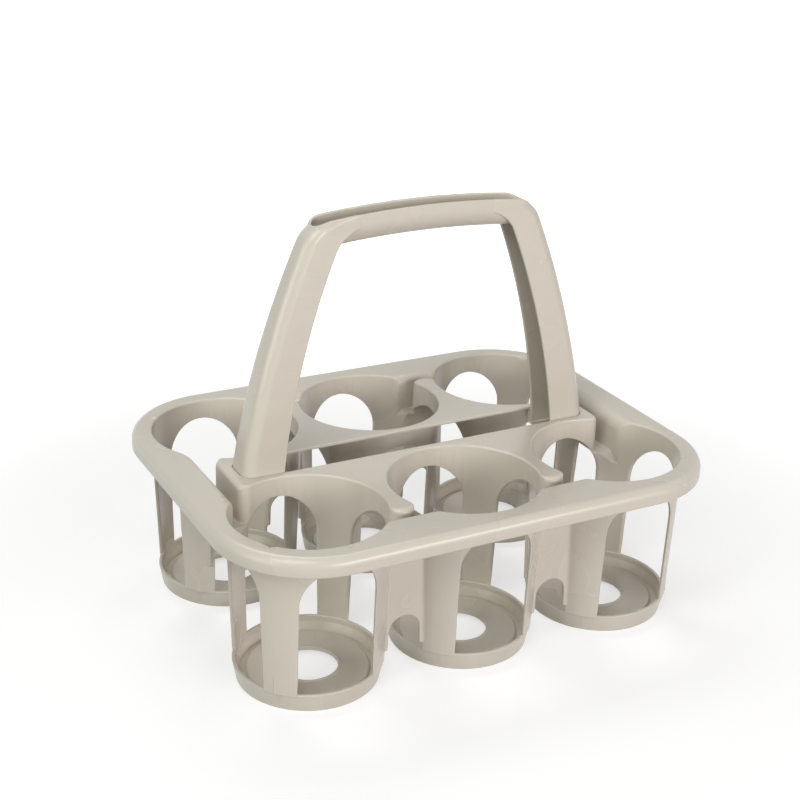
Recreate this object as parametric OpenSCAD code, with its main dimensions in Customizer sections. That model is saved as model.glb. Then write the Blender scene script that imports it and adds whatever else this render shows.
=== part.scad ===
// Moulded plastic carrier for six bottles, cups or cans, with a clip-in carrying handle.
// The basket is one moulding of rim, deck, cups, trays and webs, and the handle is the other.
// The origin is on the table under the middle of the carrier. X runs along the rows of three
// cups, Y from the front row to the rear row, and Z is up.

/* [Bottle seats and trays] */
// Radius of the cylindrical land that a bottle seats in
seat_r = 47; // [42:0.5:52]
// Height of that land
seat_h = 4; // [3:0.5:6]
// Height of the tray's ring
ring_h = 12.6; // [11:0.1:15]
// Thickness of the ring at its top
ring_wall = 2.3; // [1.8:0.1:2.6]
// How much narrower the ring is on the table than at its top, on the radius
ring_draft = 2.3; // [1.8:0.1:2.6]
// Height of the raised floor's top face
floor_z = 4.6; // [4.2:0.1:6]
// Width of the low channel between the seat and the raised floor
channel_w = 6.4; // [5:0.1:9]
// Radius of the drain hole
drain_r = 19.8; // [12:0.1:26]
// Width of the lip round the drain hole
drain_lip_w = 1.8; // [1.2:0.1:3]
// Height of that lip above the floor
drain_lip_h = 0.8; // [0.4:0.1:1.2]

/* [Cups] */
// Step outwards from the seat to the inside of the legs
foot_step = 0.6; // [0.4:0.1:1]
// How much wider the cup is at its mouth than at its foot, on the radius
cup_flare = 3.2; // [2:0.1:5]
// Rounding of the mouth's inner edge
mouth_edge_r = 1.4; // [0.6:0.1:1.6]
// Width of the four arched windows
window_w = 52; // [40:1:62]
// Height of the solid collar between the windows' crowns and the deck
collar_h = 14; // [10:0.5:20]
// How far the legs lap down over the outside of the tray's ring
leg_lap = 1.3; // [0.6:0.1:2]

/* [Layout] */
// Distance between the mouths of neighbouring cups in a row
cup_gap = 10.4; // [8:0.1:22]
// Distance between the mouths of the front row and the rear row
row_gap = 38.4; // [32:0.1:50]
// Height of the top face of the deck
deck_z = 117; // [100:1:140]
// Wall thickness of the moulding
wall = 2.2; // [1.8:0.1:2.6]

/* [Rim] */
// Width of the rim beside an end cup's mouth, at the ends of the carrier
rim_end_w = 13.7; // [12:0.1:24]
// Width of the rim beside the cups' mouths, along the front and rear
rim_side_w = 15.9; // [15:0.1:26]
// Width of the rim round the corners
rim_corner_w = 15.6; // [6:0.1:15.8]
// Height of the rim's outer skirt
skirt_h = 12.2; // [9:0.1:24]
// Radius of the rolled outer edge
rim_roll_r = 6; // [3:0.5:7]
// Radius of the bead along the skirt's lower edge
bead_r = 1.4; // [1.1:0.1:1.8]

/* [Panels, webs and gaps] */
// How far the tabs stop short of the line of the windows' sides
tab_setback = 0.6; // [0:0.1:2]
// How far the end blocks reach out past that line
block_step = 1.3; // [0.8:0.1:3]
// Open gap between a tab and the long side of the rim
tab_gap = 5.1; // [4:0.1:7]
// Open gap between an end block and the end of the rim
block_gap = 8.7; // [6:0.1:10]
// Depth of each gap, from the deck's top face to the ledge that closes it
gap_depth = 26.3; // [18:0.1:34]
// Radius with which the long side of the rim rolls down into the gap
side_roll_r = 6; // [4:0.5:7]
// Radius with which the end of the rim rolls down into the gap
end_roll_r = 9; // [4:0.5:10]
// Rounding of the upper outer edges of the tabs and blocks
face_edge_r = 3.4; // [2.4:0.1:4.4]
// Rounding where a tab meets the inside of a cup
tab_nose_r = 4; // [3:0.1:4.4]
// Rounding where an end block meets the inside of a cup
block_nose_r = 5.7; // [3:0.1:7]
// Height of the feet of the webs between neighbouring cups
web_foot_z = 18; // [15:0.5:24]
// Height of the arch under those webs, from their feet to its crown
web_arch_h = 23.5; // [18:0.5:40]
// Width left of a web beside each leg, on its inner face
web_edge = 1.2; // [0.8:0.1:2]
// How far the side webs stand out past the faces of the tabs
side_web_step = 1.9; // [1.2:0.1:4]
// How far the end webs stand out past the face of the blocks
end_web_step = 2.9; // [2.4:0.1:6]
// Height of the feet of the end webs
end_web_foot_z = 34; // [20:0.5:42]
// Height of the end webs' bar between their opening and the ledge
end_web_bar = 2.2; // [2:0.1:12]
// Corner radius of that opening
end_web_corner_r = 8; // [5:0.5:22]

/* [Handle] */
// Height of the middle of the handle above the deck
handle_rise = 168.5; // [136:0.5:204]
// How much lower the ends of the grip are
grip_crown = 4.1; // [1:0.1:6]
// Distance from the outer face of a leg at the deck to the face of the block
leg_setback = 7.6; // [6.4:0.1:12]
// Width of a leg at the deck, seen from the front
leg_w = 28.4; // [24:0.1:33]
// Deck left on each side between the slot for the handle and a cup's wall
slot_land = 3; // [1.4:0.1:6]
// Lean of the outer face of a leg at the deck, in degrees
leg_out_lean = 8.8; // [7:0.1:10]
// Lean of the inner edge of a leg at the deck, in degrees
leg_in_lean = 6.4; // [4:0.1:8]
// Distance from the middle to the outer face of a leg at the height of the grip
grip_reach = 82; // [66:0.1:96]
// Width of a leg at the height of the grip
leg_top_w = 22.8; // [20:0.1:28]
// Rounding of a leg's outer corners
leg_corner_r = 8; // [4:0.5:8.5]
// Rounding of the handle's upper outer corners
shoulder_r = 9; // [8:0.5:12]
// Rounding between a leg and the grip
armpit_r = 15; // [8:0.5:17]
// Width of the grip from front to rear
grip_w = 19.6; // [18:0.1:24]
// Depth of the grip's trough, outside
grip_h = 19.2; // [16:0.1:24]
// Height of the grip's upright sides
grip_side_h = 5.4; // [4:0.1:8]
// Length of the solid end beyond the grip's open trough
trough_end_w = 3.3; // [3:0.1:8]
// Depth to which a foot reaches into its socket
foot_depth = 11; // [8:0.5:11]
// Clearance round each foot in the deck and its socket
foot_clear = 0.3; // [0.2:0.05:0.5]
// Length of the tail below each foot
tail_l = 60; // [30:1:80]
// Width of the tail at the foot
tail_w = 26; // [22:0.1:27]
// Depth of the tail's flanges
tail_flange_w = 3.4; // [3:0.1:6]
// Draft of each side of the tail, in degrees
tail_draft = 5; // [2:0.1:7]
// How far the latch on each foot stands out
latch_out = 1.1; // [0.6:0.1:1.4]
// Width of the latch
latch_w = 12; // [6:0.5:15]
// Height of the latch
latch_h = 3.4; // [2:0.1:4]

/* [Hidden] */
greige = [0.82, 0.785, 0.73];
$fn = 96;
over = 1;
columns = [-1, 0, 1];
rows = [-1, 1];

// Radii of the trays and cups, from the bottle's seat outwards
ring_top_r = seat_r + ring_wall;
ring_foot_r = ring_top_r - ring_draft;
floor_r = seat_r - channel_w;
cup_foot_r = seat_r + foot_step;
mouth_r = cup_foot_r + cup_flare;
collar_r = mouth_r + wall;
window_r = window_w / 2;

// Distances between the cups, and the faces of the tabs, blocks, gaps and rim
cup_pitch = 2 * mouth_r + cup_gap;
row_pitch = 2 * mouth_r + row_gap;
row_y = row_pitch / 2;
tab_reach = window_r - tab_setback;
block_reach = window_r + block_step;
tab_face = row_y + tab_reach;
block_face = cup_pitch + block_reach;
side_wall = tab_face + tab_gap;
end_wall = block_face + block_gap;
side_web_face = tab_face + side_web_step;
end_web_face = block_face + end_web_step;
rim_x = cup_pitch + mouth_r + rim_end_w;
rim_y = row_y + mouth_r + rim_side_w;
rim_corner_r = mouth_r + rim_corner_w;

// Heights that several pieces share
deck_under = deck_z - wall;
leg_foot_z = ring_h - leg_lap;
window_top_z = deck_z - collar_h;
ledge_z = deck_z - gap_depth;
ledge_under = ledge_z - wall;
web_arch_z = web_foot_z + web_arch_h;
end_web_arch_z = ledge_under - end_web_bar;

// The handle's feet and the slot that they close
foot_out_x = block_face - leg_setback;
foot_in_x = foot_out_x - leg_w;
foot_half = row_gap / 2 - wall - slot_land;
foot_z = deck_z - foot_depth;
slot_half = foot_half + foot_clear;
slot_end = foot_out_x + foot_clear;
block_start = foot_in_x - wall;
latch_z = deck_under - foot_clear - latch_h;

// Places one cup's pieces, c for the column and r for the row
module at_cup(c, r) {
    translate([c * cup_pitch, r * row_y, 0])
        children();
}

module at_cups() {
    for (c = columns)
        for (r = rows)
            at_cup(c, r)
                children();
}

// Outside of one cup, as its neighbours meet it
module cup_envelope(top = deck_z + over) {
    translate([0, 0, leg_foot_z])
        cylinder(h = deck_under - leg_foot_z, r1 = cup_foot_r + wall, r2 = collar_r);
    translate([0, 0, deck_under])
        cylinder(h = top - deck_under, r = collar_r);
}

// Inside of one cup, open at both ends, with the mouth's rounded edge
module cup_hollow() {
    translate([0, 0, leg_foot_z])
        cylinder(h = deck_under - leg_foot_z, r1 = cup_foot_r, r2 = mouth_r);
    translate([0, 0, leg_foot_z - over])
        cylinder(h = over, r = cup_foot_r);
    translate([0, 0, deck_under])
        cylinder(h = wall + over, r = mouth_r);
    rotate_extrude()
        difference() {
            translate([mouth_r - over, deck_z - mouth_edge_r])
                square([mouth_edge_r + over, mouth_edge_r + over]);
            translate([mouth_r + mouth_edge_r, deck_z - mouth_edge_r])
                circle(mouth_edge_r);
        }
}

module ring_envelope() {
    cylinder(h = ring_h, r1 = ring_foot_r, r2 = ring_top_r);
}

// Outline of a window: straight sides and a half-round head
module window_outline() {
    spring_z = window_top_z - window_r;
    translate([-window_r, leg_foot_z - over])
        square([window_w, spring_z - leg_foot_z + over]);
    translate([0, spring_z])
        circle(window_r);
}

module windows() {
    for (a = [0, 90])
        rotate([90, 0, a])
            linear_extrude(2 * (collar_r + over), center = true)
                window_outline();
}

// Upright section through a gap: the straight slot, the roll of the rim and the rounded edge
module gap_section(face, reach, gap, roll) {
    bottom = ledge_z - ramp_run(reach, gap);
    translate([face, bottom])
        square([gap, deck_z + over - bottom]);
    translate([face + gap, deck_z - roll])
        difference() {
            square([roll, roll + over]);
            translate([roll, 0])
                circle(roll);
        }
    translate([face - face_edge_r, deck_z - face_edge_r])
        difference() {
            square([face_edge_r, face_edge_r + over]);
            circle(face_edge_r);
        }
}

// Half the width of a tab or block at its face, which lies reach out from the cups' centres, at +-side
function land_half(side, reach) = side - sqrt(pow(mouth_r, 2) - pow(reach, 2));

// Length of the ramps at both ends of a gap's ledge, which fall at 45 degrees into the cups
function ramp_run(reach, gap) =
    sqrt(pow(mouth_r, 2) - pow(reach, 2)) - sqrt(pow(mouth_r, 2) - pow(reach + gap, 2));

// Outer radius of a cup at height z
function cup_r(z) =
    cup_foot_r + wall + (mouth_r - cup_foot_r) * (z - leg_foot_z) / (deck_under - leg_foot_z);

// Half the width of a web's opening at height z, with the legs of two cups beside it
function opening_half(side, reach, z) =
    side - sqrt(pow(cup_r(z), 2) - pow(reach - wall, 2)) - web_edge;

// Everything above a ledge and its ramps, with the ledge lowered by drop
module above_ledge(side, reach, gap, drop = 0) {
    half = land_half(side, reach);
    run = ramp_run(reach, gap);
    flat = ledge_z - drop;
    top = deck_z + over - drop;
    polygon([
        [-side, flat - run], [-half - run, flat - run], [-half, flat], [half, flat],
        [half + run, flat - run], [side, flat - run], [side, top], [-side, top]
    ]);
}

// Turns an outline across a gap into a solid that runs outwards along +X
module outwards(start, end) {
    translate([start, 0, 0])
        rotate([90, 0, 90])
            linear_extrude(end - start)
                children();
}

// Plan of the sector round the centre of a nose, from the face to the cup's inside
module nose_sector(face, side, reach, nose, s) {
    nose_y = nose_place(side, reach, nose);
    share = mouth_r / (mouth_r + nose);
    touch_x = face - reach + (reach - nose) * share;
    touch_y = side + (nose_y - side) * share;
    polygon([
        [face - nose, s * nose_y], [face + over, s * nose_y], [face + over, s * (side - reach)],
        [touch_x, s * touch_y]
    ]);
}

// Distance of a nose's centre from the middle of its tab or block
function nose_place(side, reach, nose) =
    side - sqrt(pow(mouth_r + nose, 2) - pow(reach - nose, 2));

// What the rounded nose takes off the sharp corner between a face and a cup's inside
module nose_cut(face, side, reach, nose, s) {
    difference() {
        nose_sector(face, side, reach, nose, s);
        translate([face - nose, s * nose_place(side, reach, nose)])
            circle(nose);
    }
}

// Curved walls that join the face of a tab or block to the cups on both sides of it
module nose_walls(face, side, reach, nose) {
    translate([0, 0, ledge_z])
        linear_extrude(deck_under - ledge_z)
            for (s = [-1, 1])
                intersection() {
                    nose_sector(face, side, reach, nose, s);
                    translate([face - nose, s * nose_place(side, reach, nose)])
                        difference() {
                            circle(nose);
                            circle(nose - wall);
                        }
                }
}

// Empty space of one gap, drawn outwards along +X
module gap_space(face, reach, gap, roll, side, nose) {
    intersection() {
        rotate([90, 0, 0])
            linear_extrude(2 * side, center = true)
                gap_section(face, reach, gap, roll);
        outwards(face - face_edge_r, face + gap + roll + over)
            above_ledge(side, reach, gap);
    }
    translate([0, 0, ledge_z])
        linear_extrude(deck_z + over - ledge_z)
            for (s = [-1, 1])
                nose_cut(face, side, reach, nose, s);
}

// Gap beside the tab at x on the front or rear
module side_gap(x, r) {
    translate([x, 0, 0])
        rotate([0, 0, r * 90])
            gap_space(tab_face, tab_reach, tab_gap, side_roll_r, cup_pitch / 2, tab_nose_r);
}

// Gap beside the left or right end block
module end_gap(c) {
    rotate([0, 0, c < 0 ? 180 : 0])
        gap_space(block_face, block_reach, block_gap, end_roll_r, row_y, block_nose_r);
}

// Rim

module rim_outline(inset) {
    r = rim_corner_r - inset;
    half_x = rim_x - inset;
    half_y = rim_y - inset;
    square([2 * half_x, 2 * (half_y - r)], center = true);
    square([2 * (half_x - r), 2 * half_y], center = true);
    for (x = [-1, 1])
        for (y = [-1, 1])
            translate([x * (half_x - r), y * (half_y - r)])
                circle(r);
}

// Section of the outer edge, with x measured outwards from the inner end of the roll
module edge_section() {
    skirt_z = deck_z - skirt_h + bead_r;
    intersection() {
        translate([0, deck_z - rim_roll_r])
            difference() {
                circle(rim_roll_r);
                circle(rim_roll_r - wall);
            }
        translate([0, deck_z - rim_roll_r])
            square(rim_roll_r);
    }
    translate([rim_roll_r - wall, skirt_z])
        square([wall, deck_z - rim_roll_r - skirt_z]);
    translate([rim_roll_r - bead_r, skirt_z])
        circle(bead_r);
}

module edge_along(length) {
    rotate([90, 0, 0])
        linear_extrude(length, center = true)
            edge_section();
}

module rim_edge() {
    corner_x = rim_x - rim_corner_r;
    corner_y = rim_y - rim_corner_r;
    for (s = [0, 180])
        rotate([0, 0, s]) {
            translate([rim_x - rim_roll_r, 0, 0])
                edge_along(2 * corner_y);
            rotate([0, 0, 90])
                translate([rim_y - rim_roll_r, 0, 0])
                    edge_along(2 * corner_x);
            for (turn = [0, 1])
                translate([turn ? -corner_x : corner_x, corner_y, 0])
                    rotate([0, 0, turn * 90])
                        rotate_extrude(angle = 90)
                            translate([rim_corner_r - rim_roll_r, 0])
                                edge_section();
        }
}

// Wall that hangs from the rolled inner edge of a side or an end down to the ledge
module hanging_wall(face, reach, gap, roll, side) {
    start = face + gap;
    bottom = ledge_z - ramp_run(reach, gap);
    intersection() {
        rotate([90, 0, 0])
            linear_extrude(2 * side, center = true) {
                translate([start + roll, deck_z - roll])
                    intersection() {
                        difference() {
                            circle(roll);
                            circle(roll - wall);
                        }
                        translate([-roll, 0])
                            square(roll);
                    }
                translate([start, bottom])
                    square([wall, deck_z - roll - bottom]);
            }
        outwards(start - over, start + roll + over)
            above_ledge(side, reach, gap);
    }
}

module rim_plate() {
    translate([0, 0, deck_under])
        linear_extrude(wall)
            difference() {
                rim_outline(rim_roll_r);
                square([2 * cup_pitch, 2 * (side_wall + side_roll_r)], center = true);
                square([2 * (end_wall + end_roll_r), 2 * row_y], center = true);
            }
}

module rim() {
    color(greige)
        difference() {
            union() {
                rim_plate();
                rim_edge();
                for (c = [-1, 1])
                    for (r = rows)
                        translate([c * cup_pitch / 2, 0, 0])
                            rotate([0, 0, r * 90])
                                hanging_wall(tab_face, tab_reach, tab_gap, side_roll_r, cup_pitch / 2);
                for (a = [0, 180])
                    rotate([0, 0, a])
                        hanging_wall(block_face, block_reach, block_gap, end_roll_r, row_y);
            }
            at_cups()
                cup_envelope();
        }
}

// Deck and end blocks

module slot_outline() {
    r = leg_corner_r + foot_clear;
    square([2 * (slot_end - r), 2 * slot_half], center = true);
    square([2 * slot_end, 2 * (slot_half - r)], center = true);
    for (x = [-1, 1])
        for (y = [-1, 1])
            translate([x * (slot_end - r), y * (slot_half - r)])
                circle(r);
}

module deck_outline() {
    difference() {
        square([2 * block_face, 2 * tab_face], center = true);
        at_cups()
            circle(collar_r);
        slot_outline();
    }
}

module deck(r) {
    color(greige)
        difference() {
            translate([0, 0, deck_under])
                linear_extrude(wall)
                    intersection() {
                        deck_outline();
                        translate([-block_start, r < 0 ? -tab_face : 0])
                            square([2 * block_start, tab_face]);
                    }
            for (c = [-1, 1])
                side_gap(c * cup_pitch / 2, r);
        }
}

// Socket under the deck: walls round the foot, ledges that the foot stands on beside the passage for its
// tail, and the latch's window
module socket() {
    side_y = slot_half + wall;
    hole_half = foot_half - 2 * wall;
    passage_x = foot_out_x - tail_flange_w - foot_clear;
    height = deck_under - foot_z;
    difference() {
        translate([foot_in_x, -side_y, foot_z - wall])
            cube([slot_end + wall - foot_in_x, 2 * side_y, height + wall]);
        translate([foot_in_x - over, -slot_half, foot_z])
            cube([slot_end - foot_in_x + over, 2 * slot_half, height + over]);
        translate([foot_in_x - over, -hole_half, foot_z - wall - over])
            cube([slot_end - foot_in_x + over, 2 * hole_half, wall + 2 * over]);
        translate([passage_x, -slot_half, foot_z - wall - over])
            cube([slot_end - passage_x, 2 * slot_half, wall + 2 * over]);
        translate([slot_end - over, -latch_w / 2 - foot_clear, latch_z - foot_clear])
            cube([wall + 2 * over, latch_w + 2 * foot_clear, deck_z - latch_z]);
    }
}

module right_end() {
    difference() {
        union() {
            translate([0, 0, deck_under])
                linear_extrude(wall)
                    intersection() {
                        deck_outline();
                        translate([block_start, -row_y])
                            square([block_face - block_start, row_pitch]);
                    }
            translate([block_face - wall, -row_y, ledge_z])
                cube([wall, row_pitch, deck_under - ledge_z]);
            nose_walls(block_face, row_y, block_reach, block_nose_r);
            socket();
        }
        at_cups()
            cup_envelope();
        end_gap(1);
    }
}

module block(side) {
    color(greige)
        rotate([0, 0, side < 0 ? 180 : 0])
            right_end();
}

// Cups and trays

module cup(c, r) {
    color(greige)
        difference() {
            at_cup(c, r)
                difference() {
                    cup_envelope(deck_z);
                    cup_hollow();
                    windows();
                    ring_envelope();
                }
            for (x = [c - 1 / 2, c + 1 / 2])
                if (abs(x) < 1)
                    side_gap(x * cup_pitch, r);
            if (c != 0)
                end_gap(c);
        }
}

// Half section of a tray, from the drain hole out to the ring
module tray_section() {
    lip_r = drain_r + drain_lip_w;
    polygon([
        [drain_r, floor_z - wall], [drain_r, floor_z + drain_lip_h],
        [lip_r - drain_lip_h, floor_z + drain_lip_h],
        [lip_r, floor_z], [floor_r - wall / 2, floor_z], [floor_r, floor_z - wall / 2], [floor_r, wall],
        [ring_foot_r - wall, wall], [seat_r, ring_h - seat_h], [seat_r, ring_h], [ring_top_r, ring_h],
        [ring_foot_r, 0], [floor_r - wall, 0], [floor_r - wall, floor_z - wall]
    ]);
}

module tray(c, r) {
    color(greige)
        at_cup(c, r)
            rotate_extrude()
                tray_section();
}

// Webs

// Opening under a web: its sides follow the legs, and its upper corners are round
module web_opening(low, high, foot, arch, corner) {
    lean = atan((low - high) / (arch - foot));
    low_z = foot - over;
    low_half = low + over * tan(lean);
    centre_z = arch - corner;
    centre_half = low - (centre_z - foot) * tan(lean) - corner / cos(lean);
    touch_half = centre_half + corner * cos(lean);
    touch_z = centre_z + corner * sin(lean);
    polygon([
        [-low_half, low_z], [low_half, low_z], [touch_half, touch_z], [centre_half, arch],
        [-centre_half, arch], [-touch_half, touch_z]
    ]);
    for (s = [-1, 1])
        translate([s * centre_half, centre_z])
            circle(corner);
}

// Ledge plate between two faces, with its ramps
module ledge_plate(start, end, side, reach, gap) {
    outwards(start, end)
        difference() {
            above_ledge(side, reach, gap, wall);
            above_ledge(side, reach, gap);
        }
}

// Panel under a ledge with its opening, reach out from the cups' centres
module web_panel(face, reach, side, foot, arch, corner) {
    low = opening_half(side, reach, foot);
    high = opening_half(side, reach, arch);
    difference() {
        translate([face - wall, -side, foot])
            cube([wall, 2 * side, ledge_under - foot]);
        outwards(face - wall - over, face + over)
            web_opening(low, high, foot, arch, corner);
    }
}

module side_web(c, r) {
    side = cup_pitch / 2;
    reach = tab_reach + side_web_step;
    arch_half = opening_half(side, reach, web_arch_z);
    color(greige)
        difference() {
            translate([c * side, 0, 0])
                rotate([0, 0, r * 90]) {
                    translate([tab_face - wall, -side, ledge_z])
                        cube([wall, 2 * side, deck_under - ledge_z]);
                    nose_walls(tab_face, side, tab_reach, tab_nose_r);
                    web_panel(side_web_face, reach, side, web_foot_z, web_arch_z, arch_half);
                    ledge_plate(tab_face - wall, side_wall + wall, side, tab_reach, tab_gap);
                }
            at_cups()
                cup_envelope();
            side_gap(c * side, r);
        }
}

module end_web(c) {
    reach = block_reach + end_web_step;
    color(greige)
        difference() {
            rotate([0, 0, c < 0 ? 180 : 0]) {
                web_panel(end_web_face, reach, row_y, end_web_foot_z, end_web_arch_z, end_web_corner_r);
                ledge_plate(block_face - wall, end_wall + wall, row_y, block_reach, block_gap);
            }
            at_cups()
                cup_envelope();
            end_gap(c);
        }
}

// Handle

grip_half = grip_w / 2;
handle_top_z = deck_z + handle_rise;
leg_top_z = handle_top_z - grip_crown;
crease_z = leg_top_z - grip_side_h;
trough_end_x = grip_reach - trough_end_w;
out_r = bend_r(foot_out_x, grip_reach, leg_top_z, leg_out_lean);
in_r = bend_r(foot_in_x, grip_reach - leg_top_w, crease_z, leg_in_lean);
out_centre = bend_centre(foot_out_x, leg_out_lean, out_r);
in_centre = bend_centre(foot_in_x, leg_in_lean, in_r);
shoulder_z = leg_top_z - shoulder_r;
shoulder_x = bend_x(out_centre, out_r - shoulder_r, shoulder_z);
shoulder_start_z = shoulder_z + shoulder_r * (shoulder_z - out_centre.y) / (out_r - shoulder_r);
armpit_z = crease_z - armpit_r;
armpit_x = bend_x(in_centre, in_r - armpit_r, armpit_z);
armpit_start_z = armpit_z + armpit_r * (armpit_z - in_centre.y) / (in_r - armpit_r);
corner_steps = 5;
leg_steps = 8;
round_steps = 6;

// Radius of a bend that leaves the deck at x0 with a given lean and passes x1 at height z1
function bend_r(x0, x1, z1, lean) =
    norm([x0 - x1, z1 - deck_z]) / (2 * sin(atan((x0 - x1) / (z1 - deck_z)) - lean));

// Centre, in X and Z, of a bend that passes the deck at x with a given lean
function bend_centre(x, lean, r) = [x - r * cos(lean), deck_z - r * sin(lean)];
function bend_x(centre, r, z) = centre.x + sqrt(r * r - pow(z - centre.y, 2));

// Outer face, inner edge and half depth of a leg at height z
function leg_out(z) =
    z <= deck_z ? foot_out_x :
    z <= shoulder_start_z ? bend_x(out_centre, out_r, z) :
    shoulder_x + sqrt(max(0, pow(shoulder_r, 2) - pow(z - shoulder_z, 2)));
function leg_in(z) =
    z <= deck_z ? foot_in_x :
    z <= armpit_start_z ? bend_x(in_centre, in_r, z) :
    z < crease_z ? armpit_x + sqrt(pow(armpit_r, 2) - pow(z - armpit_z, 2)) :
    armpit_x;
function leg_half(z) =
    foot_half + (grip_half - foot_half) * min(1, max(0, (z - deck_z) / (crease_z - deck_z)));

// Heights of a leg's sections, closer together where it rounds into the grip
function round_zs(start, centre, r) =
    let (first = asin((start - centre) / r))
    [for (i = [1:round_steps]) centre + r * sin(first + (90 - first) * i / round_steps)];
leg_zs = concat(
    [foot_z],
    [for (i = [0:leg_steps]) deck_z + (armpit_start_z - deck_z) * i / leg_steps],
    round_zs(armpit_start_z, armpit_z, armpit_r)
);
shoulder_zs = concat(
    shoulder_start_z > crease_z ? [shoulder_start_z] : [],
    round_zs(max(shoulder_start_z, crease_z), shoulder_z, shoulder_r)
);

// Level section through a leg, drawn in by inset, its inner side moved back
function leg_section(z, inset, back) =
    let (
        x = leg_out(z) - inset,
        y = leg_half(z) - inset,
        r = leg_corner_r - inset,
        low = leg_in(z) - back
    )
    concat(
        [[low, -y, z]],
        [for (i = [0:corner_steps]) let (a = 90 * i / corner_steps - 90)
            [x - r + r * cos(a), r - y + r * sin(a), z]],
        [for (i = [0:corner_steps]) let (a = 90 * i / corner_steps)
            [x - r + r * cos(a), y - r + r * sin(a), z]],
        [[low, y, z]]
    );

// Skin over a row of sections with equal numbers of points
module loft(sections) {
    n = len(sections[0]);
    last = len(sections) - 1;
    polyhedron(
        points = [for (s = sections) for (p = s) p],
        faces = concat(
            [[for (j = [0:n - 1]) j]],
            [for (i = [0:last - 1]) for (j = [0:n - 1]) let (k = (j + 1) % n)
                [i * n + j, (i + 1) * n + j, (i + 1) * n + k]],
            [for (i = [0:last - 1]) for (j = [0:n - 1]) let (k = (j + 1) % n)
                [i * n + j, (i + 1) * n + k, i * n + k]],
            [[for (j = [n - 1:-1:0]) last * n + j]]
        )
    );
}

module leg() {
    loft([for (z = concat(leg_zs, shoulder_zs)) leg_section(z, 0, 0)]);
}

// The channel of a leg is open towards the other leg and at its foot
module leg_channel() {
    loft([for (z = concat([foot_z - over], leg_zs)) leg_section(z, wall, over)]);
}

module latch() {
    translate([foot_out_x, 0, latch_z])
        rotate([90, 0, 0])
            linear_extrude(latch_w, center = true)
                polygon([
                    [-wall / 2, 0], [0, 0], [latch_out, latch_out], [latch_out, latch_h],
                    [-wall / 2, latch_h]
                ]);
}

// Outline of the tail across the foot, drawn in by inset at its sides
module tail_outline(inset) {
    top_half = tail_w / 2 - inset;
    low_half = top_half - tail_l * tan(tail_draft);
    polygon([
        [-low_half, foot_z - tail_l], [low_half, foot_z - tail_l], [top_half, foot_z],
        [top_half, foot_z + wall], [-top_half, foot_z + wall], [-top_half, foot_z]
    ]);
}

// Tail that reaches down from the outer wall of a foot, a plate with a flange on each side
module tail() {
    difference() {
        outwards(foot_out_x - tail_flange_w, foot_out_x)
            tail_outline(0);
        outwards(foot_out_x - tail_flange_w - over, foot_out_x - wall)
            tail_outline(wall);
    }
}

// Height of the grip's top edge at x
function lip_z(x) =
    abs(x) <= shoulder_x ? handle_top_z - grip_crown * pow(x / shoulder_x, 2) :
    shoulder_z + sqrt(pow(shoulder_r, 2) - pow(abs(x) - shoulder_x, 2));

// Upright section through the trough: straight sides over a half-round belly
function trough_section(x, half, belly, top) =
    let (side_z = lip_z(x) - grip_side_h)
    concat(
        [[x, -half, lip_z(x) + top]],
        [for (i = [0:2 * corner_steps]) let (a = 180 + 90 * i / corner_steps)
            [x, half * cos(a), side_z + belly * sin(a)]],
        [[x, half, lip_z(x) + top]]
    );

belly_h = grip_h - grip_side_h;

// Places along the trough with its half width there, round at both ends
function trough_plan(half) =
    let (straight = trough_end_x + wall - grip_half, ends = [for (i = [0:corner_steps]) 80 * i / corner_steps])
    concat(
        [for (i = [corner_steps:-1:0]) [-straight - half * sin(ends[i]), half * cos(ends[i])]],
        [for (i = [1 - leg_steps:leg_steps - 1]) [straight * i / leg_steps, half]],
        [for (i = [0:corner_steps]) [straight + half * sin(ends[i]), half * cos(ends[i])]]
    );

module trough() {
    loft([for (p = trough_plan(grip_half)) trough_section(p.x, p.y, belly_h, 0)]);
}

module trough_hollow() {
    loft([for (p = trough_plan(grip_half - wall)) trough_section(p.x, p.y, belly_h - wall, over)]);
}

module handle() {
    color(greige)
        difference() {
            union() {
                for (s = [0, 1])
                    mirror([s, 0, 0]) {
                        difference() {
                            leg();
                            leg_channel();
                        }
                        latch();
                        tail();
                    }
                trough();
            }
            trough_hollow();
        }
}

rim();
deck(-1);  // front_deck
deck(1);  // rear_deck
block(-1);  // left_block
block(1);  // right_block
cup(-1, -1);  // front_left_cup
cup(0, -1);  // front_middle_cup
cup(1, -1);  // front_right_cup
cup(-1, 1);  // rear_left_cup
cup(0, 1);  // rear_middle_cup
cup(1, 1);  // rear_right_cup
tray(-1, -1);  // front_left_tray
tray(0, -1);  // front_middle_tray
tray(1, -1);  // front_right_tray
tray(-1, 1);  // rear_left_tray
tray(0, 1);  // rear_middle_tray
tray(1, 1);  // rear_right_tray
side_web(-1, -1);  // front_left_web
side_web(1, -1);  // front_right_web
side_web(-1, 1);  // rear_left_web
side_web(1, 1);  // rear_right_web
end_web(-1);  // left_web
end_web(1);  // right_web
handle();
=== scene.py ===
import math
import time

import bpy
import numpy as np
from mathutils import Matrix, Vector


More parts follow.
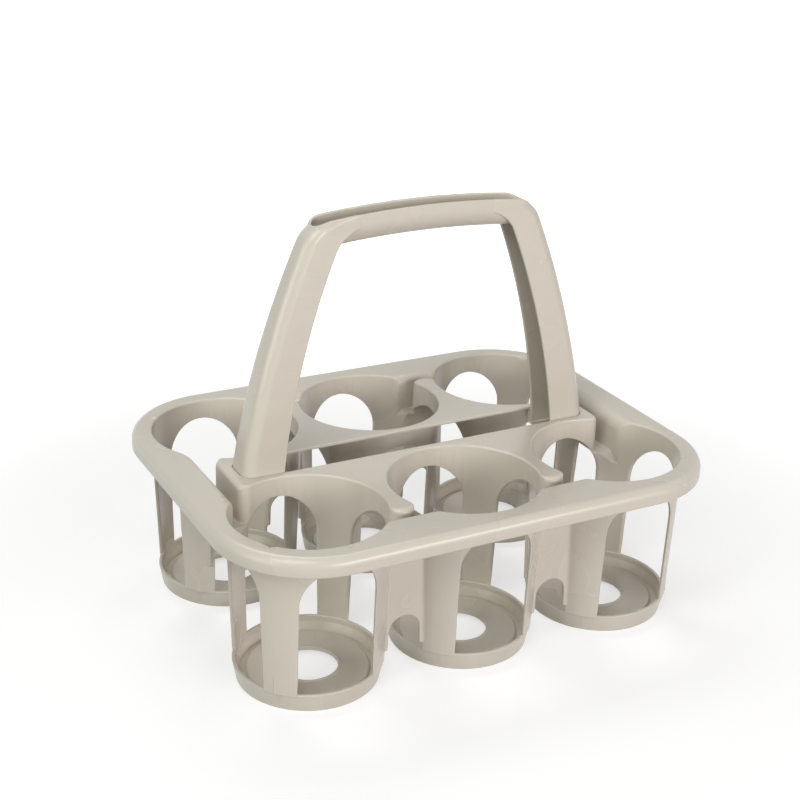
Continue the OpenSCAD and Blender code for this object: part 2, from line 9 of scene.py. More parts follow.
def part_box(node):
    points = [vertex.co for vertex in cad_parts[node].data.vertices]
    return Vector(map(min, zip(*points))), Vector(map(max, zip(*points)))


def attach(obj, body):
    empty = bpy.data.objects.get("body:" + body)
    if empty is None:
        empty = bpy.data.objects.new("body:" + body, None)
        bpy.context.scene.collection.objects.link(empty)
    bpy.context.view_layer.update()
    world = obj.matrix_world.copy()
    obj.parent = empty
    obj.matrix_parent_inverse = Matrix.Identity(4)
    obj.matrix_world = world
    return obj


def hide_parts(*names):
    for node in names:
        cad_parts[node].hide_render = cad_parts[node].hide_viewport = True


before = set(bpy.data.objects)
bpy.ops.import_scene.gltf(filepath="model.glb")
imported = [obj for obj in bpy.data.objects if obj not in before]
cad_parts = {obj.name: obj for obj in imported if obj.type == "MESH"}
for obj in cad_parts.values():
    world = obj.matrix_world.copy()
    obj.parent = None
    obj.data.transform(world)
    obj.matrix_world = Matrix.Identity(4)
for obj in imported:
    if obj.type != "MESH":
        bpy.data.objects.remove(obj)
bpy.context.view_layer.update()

startTime = time.time()


def stage(words):
    print(f"{time.time() - startTime:6.1f} s  {words}")


# Lengths are in millimetres up to the moment a mesh is made, and the frame gives the main ones.
mm = 1000


def corners(node):
    low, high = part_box(node)
    return np.array(low) * mm, np.array(high) * mm


rimHigh = corners("rim")[1]
endTrayLow, endTrayHigh = corners("rear_right_tray")
ledgeHigh = corners("right_web")[1]
handleLow, handleHigh = corners("handle")

layout = {
    "cupPitch": (endTrayLow[0] + endTrayHigh[0]) / 2,
    "rowY": (endTrayLow[1] + endTrayHigh[1]) / 2,
    "deckTop": rimHigh[2],
    "wall": 2.2,
    "ringTop": endTrayHigh[2],
    "ledgeTop": ledgeHigh[2],
}
wall = layout["wall"]
deckUnder = layout["deckTop"] - wall


# Two solids that meet in an outer edge of radius r
def roundMax(a, b, r):
    return np.minimum(np.maximum(a, b), -r) + np.hypot(np.maximum(a + r, 0), np.maximum(b + r, 0))


# The same where the faces don't meet square: cosine is that of the angle between their normals
def roundCorner(a, b, r, cosine):
    u, v = a + r, b + r
    corner = np.sqrt(np.maximum(u * u + v * v - 2 * u * v * cosine, 0) / (1 - cosine ** 2))
    return np.where((u > v * cosine) & (v > u * cosine), corner, np.maximum(u, v)) - r


# Two solids that are joined with a fillet of radius r
def roundMin(a, b, r):
    return np.maximum(np.minimum(a, b), r) - np.hypot(np.maximum(r - a, 0), np.maximum(r - b, 0))


# The outer skin of a solid, as thick as the wall
def skinOf(body):
    return np.maximum(body, -(body + wall))


def easeBetween(low, high, value):
    t = np.clip((value - low) / (high - low), 0, 1)
    return t * t * (3 - 2 * t)


# Distance to a closed outline of corner points, less than zero inside it
def outlineField(points, u, v):
    nearest = np.full(np.broadcast(u, v).shape, 1e9, dtype=np.float32)
    sign = np.ones_like(nearest)
    for (ax, ay), (bx, by) in zip(points, points[1:] + points[:1]):
        ex, ey = bx - ax, by - ay
        share = np.clip(((u - ax) * ex + (v - ay) * ey) / (ex * ex + ey * ey), 0, 1)
        nearest = np.minimum(nearest, np.hypot(u - ax - ex * share, v - ay - ey * share))
        crosses = ((ay <= v) != (by <= v)) & ((u - ax) * (by - ay) < (v - ay) * ex if by > ay else
                                              (u - ax) * (by - ay) > (v - ay) * ex)
        sign = np.where(crosses, -sign, sign)
    return nearest * sign


# The cups: inner radius at the mouth and foot, windows, and the legs' lap over the tray
cupSizes = {
    "mouthRadius": 50.8,
    "footRadius": 47.6,
    "legFoot": layout["ringTop"] - 1.3,
    "footEdge": 0.5,
    "skinEdge": 1,
    "mouthEdge": 1.4,
    "windowHalf": 26,
    "windowTop": 103,
    "windowEdge": 0.7,
    "windowDepth": wall + 0.7,
}

# The gaps beside the tabs and the end blocks, whose faces lie reach out from the cups' centres
gapSizes = {
    "tabReach": 25.4,
    "blockReach": 27.3,
    "tabGap": 5.1,
    "blockGap": 8.7,
    "sideRoll": 6,
    "endRoll": 9,
    "tabNose": 7,
    "blockNose": 5.7,
    "faceEdge": 3.6,
    "edgeBlend": 3,
    "ledgeEdge": 0.8,
    "ledgeFillet": 1,
    "sharpest": 0.95,
}
tabFace = layout["rowY"] + gapSizes["tabReach"]
blockFace = layout["cupPitch"] + gapSizes["blockReach"]
sideWall = tabFace + gapSizes["tabGap"]
endWall = blockFace + gapSizes["blockGap"]

rimSizes = {
    "halfX": rimHigh[0],
    "halfY": rimHigh[1],
    "corner": 66.4,
    "roll": 6,
    "skirt": 12.2,
    "bead": 1.4,
}

webSizes = {
    "foot": 18,
    "arch": 41.5,
    "edge": 1.2,
    "sideReach": 27.3,
    "endReach": 30.2,
    "endFoot": 34,
    "endArch": 86.3,
    "endCorner": 8,
    "fillet": 1.2,
    "edgeRadius": 0.8,
}

traySizes = {
    "ringFoot": 47,
    "ringTop": 49.3,
    "seat": 47,
    "seatHeight": 4,
    "floorRadius": 40.6,
    "floorTop": 4.6,
    "drain": 19.8,
    "lipWidth": 1.8,
    "lipHeight": 0.8,
    "edge": 0.3,
    "fillet": 0.5,
}

# Handle: the same bends, feet and trough as its solid
latchOut = 1.1
handleSizes = {
    "top": handleHigh[2],
    "crown": 4.1,
    "outX": handleHigh[0] - latchOut,
    "width": 28.4,
    "footHalf": handleHigh[1],
    "outLean": 8.8,
    "inLean": 6.4,
    "reach": 82,
    "topWidth": 22.8,
    "corner": 8,
    "lipCorner": 1.2,
    "cornerRun": 2,
    "shoulder": 12,
    "armpit": 15,
    "gripHalf": 9.8,
    "gripHeight": 19.2,
    "gripSide": 5.4,
    "troughEnd": 78.7,
    "footDepth": 11,
    "clearance": 0.3,
    "latchWidth": 12,
    "latchHeight": 3.4,
    "latchSill": 1,
    "tailHalf": 13,
    "tailFlange": 3.4,
    "tailDraft": 5,
    "tailCorner": 1.2,
    "tailFillet": 0.6,
    "tailEnd": 0.5,
    "edge": 0.7,
    "footEdge": 0.4,
    "slotEdge": 0.6,
    "troughFillet": 0.6,
}
slotHalf = handleSizes["footHalf"] + handleSizes["clearance"]
slotEnd = handleSizes["outX"] + handleSizes["clearance"]
slotCorner = handleSizes["corner"] + handleSizes["clearance"]
footInX = handleSizes["outX"] - handleSizes["width"]
footZ = layout["deckTop"] - handleSizes["footDepth"]


def cupRadius(z):
    c = cupSizes
    share = np.clip((z - c["legFoot"]) / (deckUnder - c["legFoot"]), 0, 1)
    return c["footRadius"] + (c["mouthRadius"] - c["footRadius"]) * share


# An arched opening seen square on: s across it and z up
def archField(s, z, half, top, corner):
    return roundMax(np.abs(s) - half, z - top, corner)


def openingHalf(side, reach, z):
    outer = cupRadius(np.float64(z)) + wall
    return side - math.sqrt(outer ** 2 - (reach - wall) ** 2) - webSizes["edge"]


# The web between two cups whose centres lie at +-side: across is the distance from its outer face,
# s runs along it and z up
def webField(across, s, z, side, reach, foot, arch, corner):
    low, high = openingHalf(side, reach, foot), openingHalf(side, reach, arch)
    half = low + (high - low) * np.clip((z - foot) / (arch - foot), 0, 1)
    plate = np.abs(across + wall / 2) - wall / 2
    opening = archField(s, z, half, arch, min(corner, high))
    return roundMax(plate, np.maximum(foot - z, -opening), webSizes["edgeRadius"])


# A clockwise outline drawn in by r, so that its corners can be rounded by that much
def drawnIn(points, r):
    result = []
    for before, here, after in zip(points[-1:] + points[:-1], points, points[1:] + points[:1]):
        (ax, ay), (bx, by) = ((q[0] - p[0], q[1] - p[1]) for p, q in ((before, here), (here, after)))
        a, b = math.hypot(ax, ay), math.hypot(bx, by)
        nx, ny = ay / a + by / b, -ax / a - bx / b
        share = r / (1 + (ax * bx + ay * by) / (a * b))
        result.append((here[0] + nx * share, here[1] + ny * share))
    return result


def traySection():
    t, high = traySizes, layout["ringTop"]
    lip = t["drain"] + t["lipWidth"]
    return drawnIn([
        (t["drain"], t["floorTop"] - wall), (t["drain"], t["floorTop"] + t["lipHeight"]),
        (lip - t["lipHeight"], t["floorTop"] + t["lipHeight"]), (lip, t["floorTop"]),
        (t["floorRadius"] - wall / 2, t["floorTop"]), (t["floorRadius"], t["floorTop"] - wall / 2),
        (t["floorRadius"], wall), (t["ringFoot"] - wall, wall), (t["seat"], high - t["seatHeight"]),
        (t["seat"], high), (t["ringTop"], high), (t["ringFoot"], 0), (t["floorRadius"] - wall, 0),
        (t["floorRadius"] - wall, t["floorTop"] - wall),
    ], t["edge"])


trayOutline = traySection()


# One quarter of the basket, which is alike on both sides of its two middle planes
def basketField(x, y, z):
    x, y = np.abs(x), np.abs(y)
    pitch, rowY, deckTop = layout["cupPitch"], layout["rowY"], layout["deckTop"]
    g, c, r, w = gapSizes, cupSizes, rimSizes, webSizes
    lx = np.where(x < pitch / 2, x, x - pitch)
    ly = y - rowY
    rho = np.hypot(lx, ly)
    cup = rho - cupRadius(z)
    top = z - deckTop
    atEnd = (x > pitch) & (y < rowY)

    # deck with its tabs and end blocks, rounded in plan where a face meets a cup and then along the top
    face = np.maximum(y - tabFace, x - blockFace)
    toCup = -np.where(y - tabFace > x - blockFace, ly, lx) / np.maximum(rho, 1)
    toCup = np.clip(toCup, -g["sharpest"], g["sharpest"])
    plan = roundCorner(face, -cup, np.where(atEnd, g["blockNose"], g["tabNose"]), toCup)
    blend = easeBetween(-g["edgeBlend"], g["edgeBlend"], cup + face)
    edge = c["mouthEdge"] + (g["faceEdge"] - c["mouthEdge"]) * blend
    deck = roundMax(top, plan, edge)

    # rim, and the ledges that close the gaps
    qx, qy = x - r["halfX"] + r["corner"], y - r["halfY"] + r["corner"]
    outline = (np.minimum(np.maximum(qx, qy), 0) + np.hypot(np.maximum(qx, 0), np.maximum(qy, 0))
               - r["corner"])
    inner = np.minimum(roundMax(top, sideWall - y, g["sideRoll"]),
                       roundMax(top, endWall - x, g["endRoll"]))
    rim = roundMax(np.maximum(inner, roundMax(top, outline, r["roll"])), -cup, c["mouthEdge"])
    side = np.where(atEnd, rowY, pitch / 2)
    reach = np.where(atEnd, g["blockReach"], g["tabReach"])
    half = side - np.sqrt(c["mouthRadius"] ** 2 - reach ** 2)
    s = np.where(atEnd, y, np.abs(x - pitch / 2))
    fall = z - layout["ledgeTop"]
    ledge = roundMax(np.maximum(fall, (fall + s - half) / math.sqrt(2)), -cup, g["ledgeEdge"])
    body = np.maximum(roundMin(np.minimum(deck, rim), ledge, g["ledgeFillet"]), -cup)
    skin = skinOf(body)

    bottom = np.where(outline > -r["roll"], deckTop - r["skirt"], c["legFoot"]) - z
    skin = roundMax(skin, bottom, c["skinEdge"])
    beadZ = deckTop - r["skirt"] + r["bead"]
    bead = np.hypot(outline + r["bead"], z - beadZ) - r["bead"]
    skin = np.minimum(skin, bead)

    window = np.minimum(archField(ly, z, c["windowHalf"], c["windowTop"], c["windowHalf"]),
                        archField(lx, z, c["windowHalf"], c["windowTop"], c["windowHalf"]))
    window = np.maximum(window, cup - c["windowDepth"])
    skin = roundMax(skin, -window, c["windowEdge"])
    slot = roundMax(x - slotEnd, y - slotHalf, slotCorner)
    skin = roundMax(skin, -slot, handleSizes["slotEdge"])

    # legs again, so that the webs and trays can be filleted into them below the ledges
    legs = np.maximum(np.maximum(-cup, cup - wall), fall + 3 * wall)
    legs = roundMax(roundMax(legs, c["legFoot"] - z, c["footEdge"]), -window, c["windowEdge"])
    sideWeb = webField(y - rowY - w["sideReach"], x - pitch / 2, z, pitch / 2, w["sideReach"],
                       w["foot"], w["arch"], pitch)
    sideWeb = np.maximum(sideWeb, np.maximum(fall + wall / 2, x - pitch))
    endWeb = webField(x - pitch - w["endReach"], y, z, rowY, w["endReach"],
                      w["endFoot"], w["endArch"], w["endCorner"])
    endWeb = np.maximum(endWeb, np.maximum(fall + wall / 2, y - rowY))
    webs = np.maximum(np.minimum(sideWeb, endWeb), wall / 2 - cup)
    lower = roundMin(legs, webs, w["fillet"])
    tray = outlineField(trayOutline, rho, z) - traySizes["edge"]
    lower = roundMin(lower, tray, traySizes["fillet"])
    return np.minimum(np.minimum(skin, lower), socketField(x, y, z))


# Socket under an end block: walls round the foot, ledges beside the tail's passage, and the latch's window
def socketField(x, y, z):
    h = handleSizes
    box = np.maximum(np.maximum(footInX - x, x - slotEnd - wall), y - slotHalf - wall)
    box = np.maximum(box, np.maximum(footZ - wall - z, z - deckUnder - wall / 2))
    sleeve = np.maximum(x - slotEnd, y - slotHalf)
    passage = np.maximum(sleeve, np.minimum(y - h["footHalf"] + 2 * wall,
                                            h["outX"] - h["tailFlange"] - h["clearance"] - x))
    room = np.minimum(np.maximum(sleeve, footZ - z), passage)
    latchZ = deckUnder - 2 * h["clearance"] - h["latchHeight"]
    latch = np.maximum(slotEnd - h["latchSill"] - x, y - h["latchWidth"] / 2 - h["clearance"])
    latch = np.maximum(latch, latchZ - z)
    return np.maximum(box, -np.minimum(room, latch))


# Where a bend of radius r that passes the deck at x with a given lean has its centre
def bendCentre(x, lean, r):
    a = math.radians(lean)
    return x - r * math.cos(a), layout["deckTop"] - r * math.sin(a)


# Radius of a bend that leaves the deck at x with a given lean and passes endX at height endZ
def bendRadius(x, endX, endZ, lean):
    rise = endZ - layout["deckTop"]
    turn = math.atan((x - endX) / rise) - math.radians(lean)
    return math.hypot(x - endX, rise) / (2 * math.sin(turn))


# Where a bend drawn at radius r round its centre passes height z
def bendX(centre, r, z):
    return centre[0] + math.sqrt(r ** 2 - (z - centre[1]) ** 2)


legTop = handleSizes["top"] - handleSizes["crown"]
crease = legTop - handleSizes["gripSide"]
outBend = bendRadius(handleSizes["outX"], handleSizes["reach"], legTop, handleSizes["outLean"])
outCentre = bendCentre(handleSizes["outX"], handleSizes["outLean"], outBend)
inReach = handleSizes["reach"] - handleSizes["topWidth"]
inBend = bendRadius(footInX, inReach, crease, handleSizes["inLean"])
inCentre = bendCentre(footInX, handleSizes["inLean"], inBend)
shoulderX = bendX(outCentre, outBend - handleSizes["shoulder"], legTop - handleSizes["shoulder"])
armpitX = bendX(inCentre, inBend - handleSizes["armpit"], crease - handleSizes["armpit"])


# One quarter of the handle
def handleField(x, y, z):
    x, y = np.abs(x), np.abs(y)
    h = handleSizes
    deckTop, gripHalf = layout["deckTop"], h["gripHalf"]
    lip = h["top"] - h["crown"] * (x / shoulderX) ** 2

    # outer face, straight below the deck and bent above it, with the rounded shoulder
    outer = np.hypot(x - outCentre[0], z - outCentre[1]) - outBend
    outer = np.where(z > deckTop, outer, x - h["outX"])
    outer = roundMax(outer, z - lip, h["shoulder"])
    inner = inBend - np.hypot(x - inCentre[0], z - inCentre[1])
    inner = np.where(z > deckTop, inner, footInX - x)
    arch = np.maximum(roundMin(inner, crease - z, h["armpit"]), armpitX - x)

    rise = np.clip((z - deckTop) / (crease - deckTop), 0, 1)
    flank = y - h["footHalf"] - (gripHalf - h["footHalf"]) * rise
    blend = easeBetween(armpitX, h["reach"] - h["cornerRun"], x)
    corner = h["lipCorner"] + (h["corner"] - h["lipCorner"]) * blend
    shell = skinOf(roundMax(outer, flank, corner))
    shell = roundMax(roundMax(shell, arch, h["edge"]), footZ - z, h["footEdge"])

    # the trough: upright sides over a half-round belly, round at its ends in plan too
    below = np.maximum(lip - h["gripSide"] - z, 0)
    belly = h["gripHeight"] - h["gripSide"]
    past = np.maximum(x - h["troughEnd"] + gripHalf - wall, 0)
    outside = np.sqrt(y ** 2 + (below * gripHalf / belly) ** 2 + past ** 2) - gripHalf
    inHalf = gripHalf - wall
    hollow = np.sqrt(y ** 2 + (below * inHalf / (belly - wall)) ** 2 + past ** 2) - inHalf
    trough = np.maximum(outside, outer)
    solid = roundMax(roundMin(shell, trough, h["troughFillet"]), -hollow, h["edge"])
    return np.minimum(np.minimum(solid, latchField(x, y, z)), tailField(x, y, z))


def latchField(x, y, z):
    h = handleSizes
    middle = deckUnder - h["clearance"] - h["latchHeight"] / 2
    slope = (x - h["outX"] - (z - middle + h["latchHeight"] / 2)) / math.sqrt(2)
    front = np.maximum(np.maximum(x - h["outX"] - latchOut, slope), h["outX"] - wall / 2 - x)
    front = np.maximum(front, y - h["latchWidth"] / 2)
    return np.maximum(front, np.abs(z - middle) - h["latchHeight"] / 2)


# Tail below a foot: a plate with a flange on each side, narrower towards its lower end
def tailField(x, y, z):
    h = handleSizes
    draft = math.radians(h["tailDraft"])
    side = (y - h["tailHalf"] + np.maximum(footZ - z, 0) * math.tan(draft)) * math.cos(draft)
    face = x - h["outX"]
    tail = np.maximum(roundMax(side, face, h["tailCorner"]),
                      -roundMax(side + wall, face + wall, h["tailFillet"]))
    tail = roundMax(tail, -face - h["tailFlange"], h["edge"])
    return roundMax(tail, np.maximum(handleLow[2] - z, z - footZ - wall), h["tailEnd"])


# How the meshes are made: cell is the net's spacing, share the part of its faces that is kept
netSizes = {
    "step": 0.08,
    "reach": 0.4,
    "flattest": 0.25,
    "seam": 0.02,
}
basketNet = {"cell": 0.7, "share": 0.092}
handleNet = {"cell": 0.5, "share": 0.15}


# Slope of a field, by central differences
def fieldSlope(field, points):
    h = netSizes["step"]
    slope = np.empty_like(points)
    for axis in range(3):
        ahead, behind = points.copy(), points.copy()
        ahead[:, axis] += h
        behind[:, axis] -= h
        slope[:, axis] = (field(*ahead.T) - field(*behind.T)) / (2 * h)
    return slope


# Moves points onto the surface where the field is zero
def settle(field, points, turns):
    for _ in range(turns):
        slope = fieldSlope(field, points)
        size = np.maximum((slope ** 2).sum(1), netSizes["flattest"])
        move = -(field(*points.T) / size)[:, None] * slope
        length = np.linalg.norm(move, axis=1, keepdims=True)
        points = points + move * np.minimum(1, netSizes["reach"] / np.maximum(length, 1e-9))
    return points


# A net of four-sided faces over the zero surface of a field, for the quarter with x and y above zero.
# The first cells straddle the middle planes, so their corners lie on them.
def quarterNet(field, low, high, cell):
    starts = (-cell / 2, -cell / 2, low[2] - 1.5 * cell)
    axes = [np.arange(start, top + 2 * cell, cell, dtype=np.float64) for start, top in zip(starts, high)]
    nx, ny, nz = (len(a) for a in axes)
    values = np.empty((nx, ny, nz), dtype=np.float32)
    gx, gy = np.meshgrid(axes[0].astype(np.float32), axes[1].astype(np.float32), indexing="ij")
    for k in range(nz):
        values[:, :, k] = field(gx, gy, np.float32(axes[2][k]))
    solid = values < 0
    count = np.zeros((nx - 1, ny - 1, nz - 1), dtype=np.int8)
    steps = [(i, j, k) for i in (0, 1) for j in (0, 1) for k in (0, 1)]
    for i, j, k in steps:
        count += solid[i:nx - 1 + i, j:ny - 1 + j, k:nz - 1 + k]
    cells = np.argwhere((count > 0) & (count < 8))
    number = np.full(count.shape, -1, dtype=np.int32)
    number[tuple(cells.T)] = np.arange(len(cells))
    total = np.zeros((len(cells), 3))
    crossings = np.zeros(len(cells))
    for a in steps:
        for b in steps:
            if sum(b) - sum(a) == 1 and all(q >= p for p, q in zip(a, b)):
                va = values[cells[:, 0] + a[0], cells[:, 1] + a[1], cells[:, 2] + a[2]]
                vb = values[cells[:, 0] + b[0], cells[:, 1] + b[1], cells[:, 2] + b[2]]
                crosses = (va < 0) != (vb < 0)
                share = np.where(crosses, va / np.where(crosses, va - vb, 1), 0)
                place = np.array(a) + share[:, None] * (np.array(b) - np.array(a))
                total += place * crosses[:, None]
                crossings += crosses
    origin = np.array([a[0] for a in axes])
    points = origin + (cells + total / crossings[:, None]) * cell
    faces = []
    for axis in range(3):
        before = [slice(1, -1)] * 3
        after = [slice(1, -1)] * 3
        before[axis], after[axis] = slice(0, -1), slice(1, None)
        a, b = solid[tuple(before)], solid[tuple(after)]
        for mask, turned in ((a & ~b, False), (~a & b, True)):
            edge = np.argwhere(mask)
            for other in range(3):
                if other != axis:
                    edge[:, other] += 1
            u, v = (axis + 1) % 3, (axis + 2) % 3
            ring = []
            for du, dv in ((0, 0), (-1, 0), (-1, -1), (0, -1)):
                cellAt = edge.copy()
                cellAt[:, u] += du
                cellAt[:, v] += dv
                ring.append(number[tuple(cellAt.T)])
            quad = np.stack(ring, axis=1)
            faces.append(quad[:, ::-1] if turned else quad)
    return points, np.concatenate(faces)


def meshOf(name, points, faces):
    mesh = bpy.data.meshes.new(name)
    sides = faces.shape[1]
    mesh.vertices.add(len(points))
    mesh.vertices.foreach_set("co", points.astype(np.float32).ravel())
    mesh.loops.add(faces.size)
    mesh.loops.foreach_set("vertex_index", faces.astype(np.int32).ravel())
    mesh.polygons.add(len(faces))
    mesh.polygons.foreach_set("loop_start", np.arange(0, faces.size, sides, dtype=np.int32))
    mesh.polygons.foreach_set("loop_total", np.full(len(faces), sides, dtype=np.int32))
    mesh.update(calc_edges=True)
    return mesh


# Fewer faces where the surface is flat
def thinned(points, faces, share):
    mesh = meshOf("net", points, faces)
    piece = bpy.data.objects.new("net", mesh)
    bpy.context.scene.collection.objects.link(piece)
    modifier = piece.modifiers.new("thin", "DECIMATE")
    modifier.ratio = share
    modifier.use_collapse_triangulate = True
    result = piece.evaluated_get(bpy.context.evaluated_depsgraph_get()).to_mesh()
    newPoints = np.empty(len(result.vertices) * 3, dtype=np.float32)
    result.vertices.foreach_get("co", newPoints)
    newFaces = np.empty(len(result.loops), dtype=np.int32)
    result.loops.foreach_get("vertex_index", newFaces)
    bpy.data.objects.remove(piece)
    bpy.data.meshes.remove(mesh)
    return newPoints.reshape(-1, 3).astype(np.float64), newFaces.reshape(-1, 3)


# The four quarters as one closed mesh, joined along the middle planes
def mirrored(points, faces):
    for axis in (0, 1):
        onPlane = np.abs(points[:, axis]) < netSizes["seam"]
        points[onPlane, axis] = 0
        copy = np.arange(len(points)) + len(points)
        copy[onPlane] = np.nonzero(onPlane)[0]
        flipped = points.copy()
        flipped[:, axis] *= -1
        both = np.concatenate([points, flipped])
        faces = np.concatenate([faces, copy[faces][:, ::-1]])
        used, inverse = np.unique(faces, return_inverse=True)
        points, faces = both[used], inverse.reshape(faces.shape)
    return points, faces


def mouldedPiece(name, field, low, high, net):
    points, faces = quarterNet(field, low, high, net["cell"])
    points = settle(field, points, turns=3)
    stage(f"{name}: {len(faces)} faces in a quarter")
    points, faces = thinned(points, faces, net["share"])
    points = settle(field, points, turns=2)
    points, faces = mirrored(points, faces)
    mesh = meshOf(name, points / mm, faces)
    slope = fieldSlope(field, points)
    slope /= np.maximum(np.linalg.norm(slope, axis=1, keepdims=True), 1e-6)
    mesh.shade_smooth()
    mesh.normals_split_custom_set_from_vertices(slope.astype(np.float32).tolist())
    piece = bpy.data.objects.new(name, mesh)
    bpy.context.scene.collection.objects.link(piece)
    stage(f"{name}: {len(faces)} triangles")
    return piece


basketNodes = [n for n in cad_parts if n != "handle"]
basketHigh = [rimHigh[0], rimHigh[1], layout["deckTop"]]
basket = mouldedPiece("basket", basketField, [0, 0, 0], basketHigh, basketNet)
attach(basket, "root")
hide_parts(*basketNodes)
handle = mouldedPiece("carryingHandle", handleField, [0, 0, handleLow[2]], handleHigh, handleNet)
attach(handle, "root")
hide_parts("handle")


# One socket of a shader, so that shader maths reads as plain expressions
class Wire:
    def __init__(self, tree, socket):
        self.tree = tree
        self.socket = socket

    def node(self, kind, inputs=None, output=0, **settings):
        node = self.tree.nodes.new(kind)
        for key, value in settings.items():
            setattr(node, key, value)
        for key, value in (inputs or {}).items():
            if isinstance(value, Wire):
                self.tree.links.new(value.socket, node.inputs[key])
            else:
                node.inputs[key].default_value = value
        return Wire(self.tree, node.outputs[output])

    def math(self, operation, *values):
        return self.node("ShaderNodeMath", dict(enumerate(values)), operation=operation)

    def __add__(self, other):
        return self.math("ADD", self, other)

    def __mul__(self, other):
        return self.math("MULTIPLY", self, other)

    def __sub__(self, other):
        return self.math("SUBTRACT", self, other)

    def __rsub__(self, other):
        return self.math("SUBTRACT", other, self)

    __radd__ = __add__
    __rmul__ = __mul__

    def mix(self, low, high):
        return self.node("ShaderNodeMix", {0: self, 6: low, 7: high}, output=2, data_type="RGBA")


def startMaterial(name):
    material = bpy.data.materials.new(name)
    material.use_nodes = True
    tree = material.node_tree
    shader = tree.nodes["Principled BSDF"]
    coords = tree.nodes.new("ShaderNodeTexCoord")
    return material, tree, shader, Wire(tree, coords.outputs["Object"])


plasticLook = {
    "base": (0.62, 0.574, 0.5, 1),
    "pale": (0.635, 0.588, 0.514, 1),
    "roughness": 0.27,
    "roughnessSpread": 0.04,
    "cloudScale": 14,
    "cloudDetail": 3,
    "grainScale": 900,
    "grainDetail": 2,
    "grainStrength": 0.15,
    "grainHeight": 0.00002,
    "index": 1.49,
}


def makePlastic():
    look = plasticLook
    material, tree, shader, place = startMaterial("mouldedPlastic")
    cloud = place.node("ShaderNodeTexNoise", {"Vector": place, "Scale": look["cloudScale"],
                                              "Detail": look["cloudDetail"]})
    grain = place.node("ShaderNodeTexNoise", {"Vector": place, "Scale": look["grainScale"],
                                              "Detail": look["grainDetail"]})
    colour = cloud.mix(look["base"], look["pale"])
    tree.links.new(colour.socket, shader.inputs["Base Color"])
    roughness = look["roughness"] - look["roughnessSpread"] / 2 + cloud * look["roughnessSpread"]
    tree.links.new(roughness.socket, shader.inputs["Roughness"])
    bump = place.node("ShaderNodeBump", {"Height": grain, "Strength": look["grainStrength"],
                                         "Distance": look["grainHeight"]})
    tree.links.new(bump.socket, shader.inputs["Normal"])
    shader.inputs["IOR"].default_value = look["index"]
    return material


plastic = makePlastic()
for piece in (basket, handle):
    piece.data.materials.append(plastic)
stage("materials")


# Camera: where the photograph was taken from, found from the cups, the rim and the handle
cameraFit = {
    "focal": 1520.9,        # in pixels of the 800 pixel frame
    "azimuth": -28.299,
    "elevation": 22.901,
    "roll": 1.762,
    "distance": 1050.3,
    "target": (-6.22, 10.73, 141.95),
    "frame": 800,
    "sensor": 36,           # millimetres
    "farthest": 50,
}


def placeCamera():
    f = cameraFit
    az, el, roll = (math.radians(f[k]) for k in ("azimuth", "elevation", "roll"))
    back = Vector((math.sin(az) * math.cos(el), -math.cos(az) * math.cos(el), math.sin(el)))
    right = Vector((math.cos(az), math.sin(az), 0))
    up = back.cross(right)
    turnedRight = right * math.cos(roll) + up * math.sin(roll)
    turnedUp = up * math.cos(roll) - right * math.sin(roll)
    data = bpy.data.cameras.new("camera")
    data.sensor_width = f["sensor"]
    data.lens = f["focal"] * f["sensor"] / f["frame"]
    data.clip_end = f["farthest"]
    camera = bpy.data.objects.new("camera", data)
    bpy.context.scene.collection.objects.link(camera)
    turn = Matrix((turnedRight, turnedUp, back)).transposed().to_4x4()
    place = (Vector(f["target"]) + back * f["distance"]) / mm
    camera.matrix_world = Matrix.Translation(place) @ turn
    bpy.context.scene.camera = camera


placeCamera()


# Lamps: place and size in metres, power in watts; all of them face a point just above the floor
lampAim = (0, 0, 0.1)
lamps = {
    "keyLamp": {"place": (-0.9, -0.7, 1.5), "size": (1.0, 1.0), "power": 13,
                "colour": (0.98, 1.0, 0.95)},
    "frontLamp": {"place": (0.45, -1.7, 0.5), "size": (1.2, 0.6), "power": 19,
                  "colour": (1.0, 0.95, 0.945)},
    "leftLamp": {"place": (-1.7, -0.4, 0.5), "size": (1.0, 0.7), "power": 8,
                 "colour": (0.96, 1.0, 0.93)},
    "topLamp": {"place": (0.1, 0.8, 1.6), "size": (1.2, 0.6), "power": 10,
                "colour": (1.0, 1.0, 1.0)},
}


def areaLamp(name, look):
    data = bpy.data.lights.new(name, "AREA")
    data.shape = "RECTANGLE"
    data.size, data.size_y = look["size"]
    data.energy = look["power"]
    data.color = look["colour"]
    lamp = bpy.data.objects.new(name, data)
    lamp.location = look["place"]
    facing = Vector(lampAim) - Vector(look["place"])
    lamp.rotation_euler = facing.to_track_quat("-Z", "Y").to_euler()
    bpy.context.scene.collection.objects.link(lamp)


for lampName, lampLook in lamps.items():
    areaLamp(lampName, lampLook)


# The room: ambient is the world's light on the object, floorLift what the floor adds to its own
# shade under the object, and the floor turns fully white between two distances from the object
roomLook = {
    "background": (1, 1, 1, 1),
    "ambient": 0.05,
    "floor": (0.45, 0.45, 0.45, 1),
    "floorRoughness": 0.9,
    "floorLift": 0.6,
    "clearFrom": 0.26,
    "clearTo": 0.75,
    "floorHalf": 3.0,
    "floorDrop": 0.0001,
}


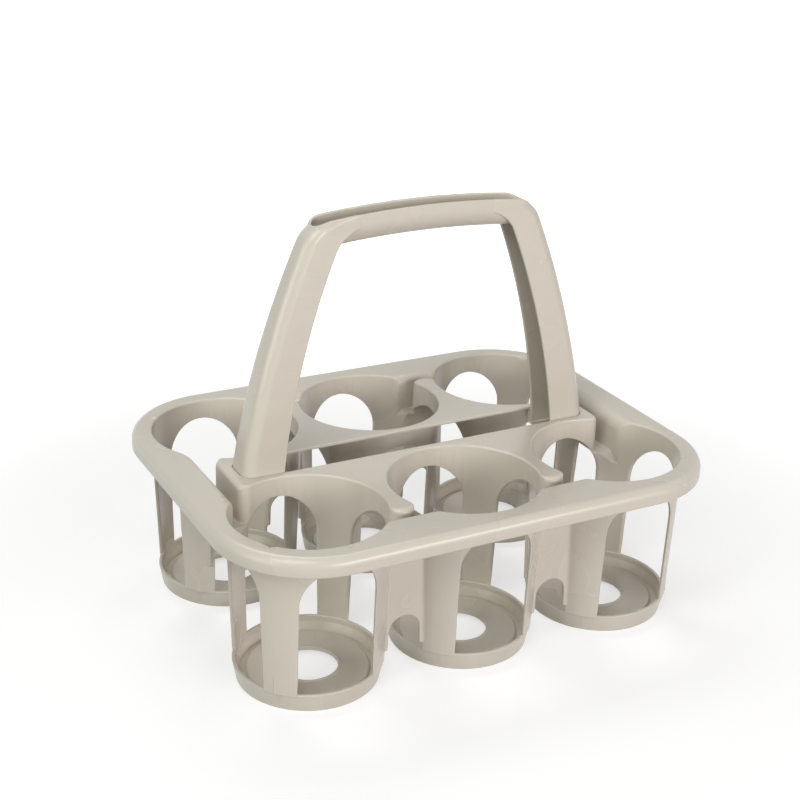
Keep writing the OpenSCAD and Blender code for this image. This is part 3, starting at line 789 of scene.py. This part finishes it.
# A ray that should meet the white background: from the camera, a mirror or glass
def seesBackground(wire):
    path = wire.tree.nodes.new("ShaderNodeLightPath")
    camera, glossy, glass = (Wire(wire.tree, path.outputs[name])
                             for name in ("Is Camera Ray", "Is Glossy Ray", "Is Transmission Ray"))
    return camera.math("MAXIMUM", camera, glossy.math("MAXIMUM", glossy, glass))


def makeWorld():
    world = bpy.data.worlds.new("room")
    world.use_nodes = True
    tree = world.node_tree
    background = tree.nodes["Background"]
    start = Wire(tree, tree.nodes.new("ShaderNodeTexCoord").outputs["Generated"])
    ambient = roomLook["ambient"]
    strength = seesBackground(start) * (1 - ambient) + ambient
    background.inputs["Color"].default_value = roomLook["background"]
    tree.links.new(strength.socket, background.inputs["Strength"])
    bpy.context.scene.world = world


makeWorld()


# Pale floor that shows white to the camera and keeps the object's soft shadow
def makeFloor():
    look = roomLook
    material, tree, shader, place = startMaterial("paleFloor")
    shader.inputs["Base Color"].default_value = look["floor"]
    shader.inputs["Roughness"].default_value = look["floorRoughness"]
    distance = place.node("ShaderNodeVectorMath", {0: place}, output=1, operation="LENGTH")
    far = place.node("ShaderNodeMapRange", {"Value": distance, "From Min": look["clearFrom"],
                                            "From Max": look["clearTo"]},
                     interpolation_type="SMOOTHSTEP")
    lift = far * (1 - look["floorLift"]) + look["floorLift"]
    glow = place.node("ShaderNodeEmission", {"Color": look["background"],
                                             "Strength": seesBackground(place) * lift})
    both = tree.nodes.new("ShaderNodeAddShader")
    tree.links.new(shader.outputs[0], both.inputs[0])
    tree.links.new(glow.socket, both.inputs[1])
    tree.links.new(both.outputs[0], tree.nodes["Material Output"].inputs["Surface"])
    half, z = look["floorHalf"], -look["floorDrop"]
    points = np.array([(-half, -half, z), (half, -half, z), (half, half, z), (-half, half, z)])
    floor = bpy.data.objects.new("floor", meshOf("floor", points, np.array([[0, 1, 2, 3]])))
    floor.data.materials.append(material)
    bpy.context.scene.collection.objects.link(floor)


makeFloor()
bpy.context.scene.view_settings.view_transform = "Standard"

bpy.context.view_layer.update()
stage("scene is ready")
